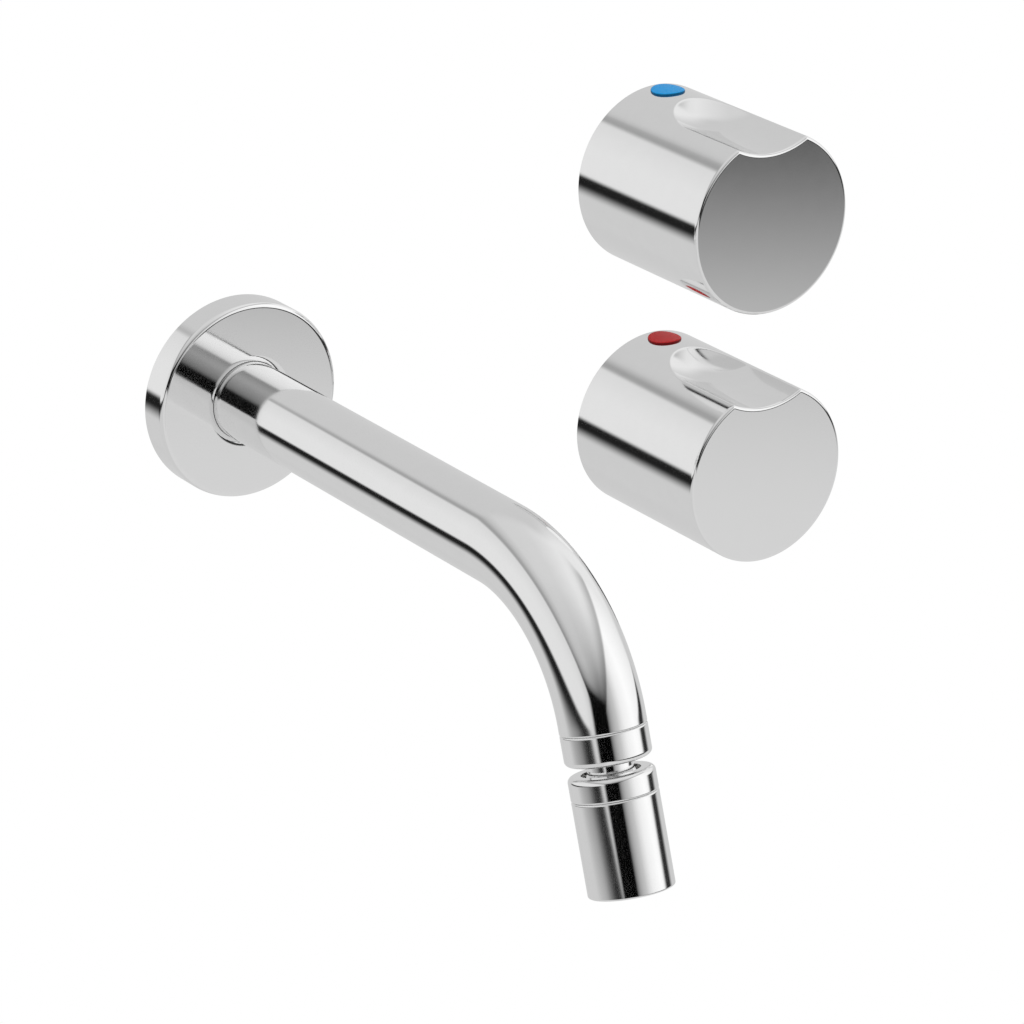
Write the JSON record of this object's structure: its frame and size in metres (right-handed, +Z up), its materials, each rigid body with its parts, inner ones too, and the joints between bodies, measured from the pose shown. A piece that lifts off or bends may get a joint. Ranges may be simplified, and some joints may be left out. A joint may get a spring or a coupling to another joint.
{
  "type": "wall-mounted bidet mixer",
  "caption": "Concealed bidet mixer with a bent round spout, a ball-jointed aerator and scalloped round knobs stacked beside it.",
  "frame": {"origin": "where the spout's axis meets the finished wall", "axes": "+Z up, +Y into the wall, the user stands at -Y; the handles are on the +X side"},
  "size_m": [0.2048, 0.2398, 0.1297],
  "materials": {
    "chrome": "polished",
    "brass": "satin",
    "copper": "satin",
    "steel": "satin",
    "rubber": "matte",
    "fibre": "matte",
    "ceramic": "satin",
    "white_plastic": "satin",
    "blue_index": "gloss",
    "red_index": "gloss"
  },
  "bodies": {
    "mixer_body": {"cold_cover_sleeve": "chrome", "cold_bonnet": "brass", "cold_seat_seal": "rubber", "cold_fixed_disc": "ceramic", "cold_guide_bush": "white_plastic", "hot_cover_sleeve": "chrome", "hot_bonnet": "brass", "hot_seat_seal": "rubber", "hot_fixed_disc": "ceramic", "hot_guide_bush": "white_plastic", "valve_body": "brass", "spout_elbow": "brass", "pipe_olives": "brass", "pipe_nuts": "brass", "spout_nipple": "brass", "spout_end_bush": "brass", "transfer_pipe": "copper", "mounting_bracket": "steel", "bracket_screws": "steel", "spout_screw": "steel", "nipple_seal": "rubber", "flange_grip_ring": "rubber", "flange_gasket": "rubber", "stem_seal": "rubber", "nipple_washer": "fibre", "spout_flange": "chrome", "spout_tube": "chrome", "ball_stem": "chrome"},
    "cold_handle": {"cold_knob": "chrome", "cold_index": "blue_index", "cold_adapter": "brass", "cold_set_screw": "steel", "cold_spindle": "brass", "cold_spindle_seal": "rubber", "cold_spindle_clip": "steel", "cold_moving_disc": "ceramic"},
    "hot_handle": {"hot_knob": "chrome", "hot_index": "red_index", "hot_adapter": "brass", "hot_set_screw": "steel", "hot_spindle": "brass", "hot_spindle_seal": "rubber", "hot_spindle_clip": "steel", "hot_moving_disc": "ceramic"},
    "ball_liner_ring": {"ball_liner": "white_plastic"},
    "ball_seat_ring": {"ball_seat": "white_plastic"},
    "aerator": {"ball_seal": "rubber", "swivel_cap": "chrome", "aerator_sleeve": "chrome", "aerator_washer": "rubber", "jet_plate": "white_plastic", "aerator_nozzle": "white_plastic"}
  },
  "joints": [
    {"name": "cold_handle_turn", "type": "hinge", "parent": "mixer_body", "child": "cold_handle", "pos_m": [0.1208, 0, 0.032], "axis": [0, -1, 0], "range_deg": [0, 90]},
    {"name": "hot_handle_turn", "type": "hinge", "parent": "mixer_body", "child": "hot_handle", "pos_m": [0.1208, 0, -0.032], "axis": [0, -1, 0], "range_deg": [0, 90]},
    {"name": "aerator_tilt", "type": "hinge", "parent": "mixer_body", "child": "ball_liner_ring", "pos_m": [0, -0.15552, -0.04252], "axis": [1, 0, 0], "range_deg": [-10, 10]},
    {"name": "aerator_sway", "type": "hinge", "parent": "ball_liner_ring", "child": "ball_seat_ring", "pos_m": [0, -0.15552, -0.04252], "axis": [0, -0.9511, 0.309], "range_deg": [-10, 10]},
    {"name": "aerator_spin", "type": "hinge", "parent": "ball_seat_ring", "child": "aerator", "pos_m": [0, -0.15552, -0.04252], "axis": [0, -0.309, -0.9511], "continuous": true}
  ]
}
